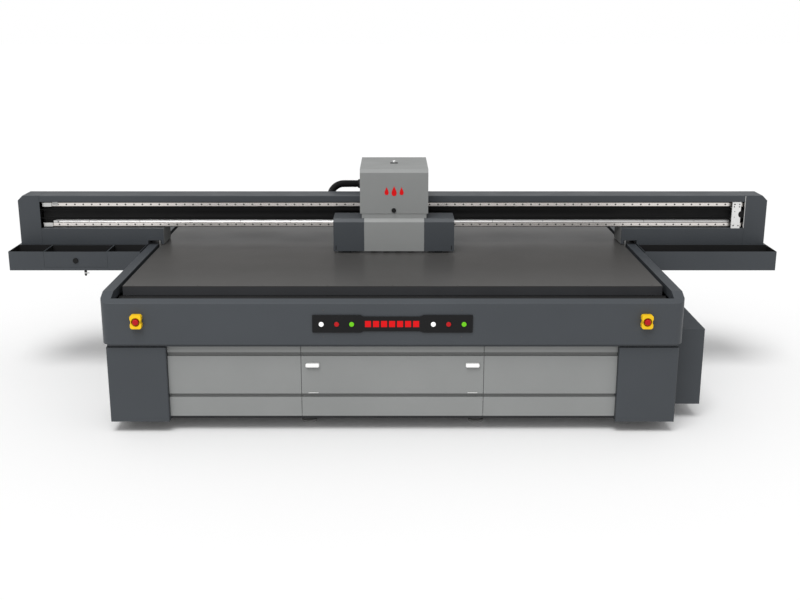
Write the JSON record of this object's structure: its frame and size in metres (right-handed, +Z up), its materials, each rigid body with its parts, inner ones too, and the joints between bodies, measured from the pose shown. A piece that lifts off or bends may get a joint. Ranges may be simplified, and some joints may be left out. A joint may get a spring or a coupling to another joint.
{
  "type": "flatbed uv printer",
  "caption": "Wide flatbed UV printer: fixed vacuum table on a covered steel base, with a travelling gantry, print carriage, side trays and a control strip.",
  "frame": {"origin": "on the floor at the centre of the machine's outline", "axes": "+X to the operator's right along the gantry beam, +Y to the back, +Z up"},
  "size_m": [5.3292, 2.946, 1.466],
  "materials": {
    "dark_paint": "satin powder coat",
    "light_paint": "satin powder coat",
    "hood_paint": "satin powder coat",
    "black_paint": "satin",
    "table_skin": "dark anodised, satin",
    "frame_paint": "textured",
    "steel": "ground",
    "zinc": "zinc plated",
    "white_paint": "gloss",
    "panel_black": "gloss",
    "estop_yellow": "gloss",
    "estop_red": "gloss",
    "button_white": "gloss",
    "button_red": "gloss",
    "button_green": "gloss",
    "handle_white": "gloss",
    "belt_rubber": "matte",
    "black_plastic": "matte",
    "board": "satin"
  },
  "bodies": {
    "base": {"base_frame": "frame_paint", "levelling_feet": "zinc", "front_fascia": "dark_paint", "rear_covers": "dark_paint", "side_covers": "dark_paint", "front_recess_tray": "black_paint", "corner_covers": "dark_paint", "front_panels": "light_paint", "side_panels": "light_paint", "rear_panels": "light_paint", "vacuum_table": "table_skin", "y_guide_rails": "steel", "y_drive_units": "black_paint", "vacuum_blowers": "zinc", "control_panel": "panel_black", "estop_collars": "estop_yellow", "electrical_cabinet": "dark_paint", "electronics_plate": "board", "power_inlet": "black_plastic"},
    "front_door": {"front_door": "light_paint", "door_handles": "handle_white"},
    "cabinet_door": {"cabinet_door": "dark_paint"},
    "gantry": {"gantry_beam": "black_paint", "gantry_stands": "dark_paint", "y_bearing_blocks": "zinc", "beam_top_fascia": "dark_paint", "chain_trough": "dark_paint", "energy_chain": "black_plastic", "end_caps": "dark_paint", "x_guide_rails": "steel", "x_belt": "belt_rubber", "idler_bracket": "white_paint", "x_servo_motor": "black_paint", "left_tray": "dark_paint", "right_tray": "dark_paint"},
    "idler_pulley": {"idler_pulley": "black_plastic"},
    "drive_pulley": {"drive_pulley": "zinc"},
    "maintenance_drawer": {"maintenance_drawer": "dark_paint"},
    "drawer_lock": {"drawer_lock": "black_plastic"},
    "drain_lever": {"drain_lever": "steel"},
    "carriage": {"carriage_plate": "zinc"},
    "z_screw": {"z_screw": "steel"},
    "print_head_unit": {"head_frame": "zinc", "print_heads": "steel", "uv_lamps": "black_paint", "lamp_covers": "dark_paint", "head_front_cover": "light_paint", "cable_duct": "black_plastic"},
    "hood": {"hood": "hood_paint"},
    "hood_lock": {"hood_lock": "black_plastic"},
    "y_screw_left": {"y_screw_left": "steel"},
    "y_screw_right": {"y_screw_right": "steel"},
    "estop_button_left": {"estop_button_left": "estop_red"},
    "estop_button_right": {"estop_button_right": "estop_red"},
    "left_white_button": {"left_white_button": "button_white"},
    "left_red_button": {"left_red_button": "button_red"},
    "left_green_button": {"left_green_button": "button_green"},
    "right_white_button": {"right_white_button": "button_white"},
    "right_red_button": {"right_red_button": "button_red"},
    "right_green_button": {"right_green_button": "button_green"}
  },
  "joints": [
    {"name": "gantry_travel", "type": "slide", "parent": "base", "child": "gantry", "axis": [0, 1, 0], "range_m": [-0.97, 1.03]},
    {"name": "carriage_travel", "type": "slide", "parent": "gantry", "child": "carriage", "axis": [1, 0, 0], "range_m": [-2.05, 2]},
    {"name": "head_lift", "type": "slide", "parent": "carriage", "child": "print_head_unit", "axis": [0, 0, 1], "range_m": [0, 0.1]},
    {"name": "hood_hinge", "type": "hinge", "parent": "print_head_unit", "child": "hood", "pos_m": [0.01, 0.325, 1.244], "axis": [-1, 0, 0], "range_deg": [0, 75]},
    {"name": "hood_lock_turn", "type": "hinge", "parent": "hood", "child": "hood_lock", "pos_m": [0.009, -0.277, 1.167], "axis": [0, 1, 0], "range_deg": [0, 90]},
    {"name": "drawer_slide", "type": "slide", "parent": "gantry", "child": "maintenance_drawer", "axis": [0, -1, 0], "range_m": [0, 0.18]},
    {"name": "drawer_lock_turn", "type": "hinge", "parent": "maintenance_drawer", "child": "drawer_lock", "pos_m": [-2.201, -0.251, 0.808], "axis": [0, 1, 0], "range_deg": [0, 90]},
    {"name": "drain_lever_turn", "type": "hinge", "parent": "gantry", "child": "drain_lever", "pos_m": [-2.147, -0.227, 0.716], "axis": [0, 1, 0], "range_deg": [0, 90]},
    {"name": "front_door_hinge", "type": "hinge", "parent": "base", "child": "front_door", "pos_m": [0, -1.358, 0.103], "axis": [1, 0, 0], "range_deg": [0, 90]},
    {"name": "cabinet_door_hinge", "type": "hinge", "parent": "base", "child": "cabinet_door", "pos_m": [1.929, 0.125, 0.34], "axis": [0, 0, 1], "range_deg": [0, 105]},
    {"name": "idler_spin", "type": "hinge", "parent": "gantry", "child": "idler_pulley", "pos_m": [2.462, 0.01, 1.09], "axis": [0, 1, 0], "continuous": true},
    {"name": "drive_spin", "type": "hinge", "parent": "gantry", "child": "drive_pulley", "pos_m": [-2.545, 0.01, 1.09], "axis": [0, 1, 0], "continuous": true},
    {"name": "z_screw_spin", "type": "hinge", "parent": "carriage", "child": "z_screw", "pos_m": [0.01, -0.05, 1.18], "axis": [0, 0, 1], "continuous": true},
    {"name": "y_screw_left_spin", "type": "hinge", "parent": "base", "child": "y_screw_left", "pos_m": [-1.615, 0.023, 0.775], "axis": [0, 1, 0], "continuous": true},
    {"name": "y_screw_right_spin", "type": "hinge", "parent": "base", "child": "y_screw_right", "pos_m": [1.615, 0.023, 0.775], "axis": [0, 1, 0], "continuous": true},
    {"name": "estop_button_left_press", "type": "slide", "parent": "base", "child": "estop_button_left", "axis": [0, 1, 0], "range_m": [0, 0.005], "stiffness_N_per_m": 400},
    {"name": "estop_button_right_press", "type": "slide", "parent": "base", "child": "estop_button_right", "axis": [0, 1, 0], "range_m": [0, 0.005], "stiffness_N_per_m": 400},
    {"name": "left_white_button_press", "type": "slide", "parent": "base", "child": "left_white_button", "axis": [0, 1, 0], "range_m": [0, 0.003], "stiffness_N_per_m": 300},
    {"name": "left_red_button_press", "type": "slide", "parent": "base", "child": "left_red_button", "axis": [0, 1, 0], "range_m": [0, 0.003], "stiffness_N_per_m": 300},
    {"name": "left_green_button_press", "type": "slide", "parent": "base", "child": "left_green_button", "axis": [0, 1, 0], "range_m": [0, 0.003], "stiffness_N_per_m": 300},
    {"name": "right_white_button_press", "type": "slide", "parent": "base", "child": "right_white_button", "axis": [0, 1, 0], "range_m": [0, 0.003], "stiffness_N_per_m": 300},
    {"name": "right_red_button_press", "type": "slide", "parent": "base", "child": "right_red_button", "axis": [0, 1, 0], "range_m": [0, 0.003], "stiffness_N_per_m": 300},
    {"name": "right_green_button_press", "type": "slide", "parent": "base", "child": "right_green_button", "axis": [0, 1, 0], "range_m": [0, 0.003], "stiffness_N_per_m": 300}
  ],
  "couplings": [
    {"joint": "drive_spin", "follows": "carriage_travel", "rad_per_m": 32.787},
    {"joint": "idler_spin", "follows": "carriage_travel", "rad_per_m": 32.787},
    {"joint": "z_screw_spin", "follows": "head_lift", "rad_per_m": 628.32},
    {"joint": "y_screw_left_spin", "follows": "gantry_travel", "rad_per_m": 314.16},
    {"joint": "y_screw_right_spin", "follows": "gantry_travel", "rad_per_m": 314.16}
  ]
}
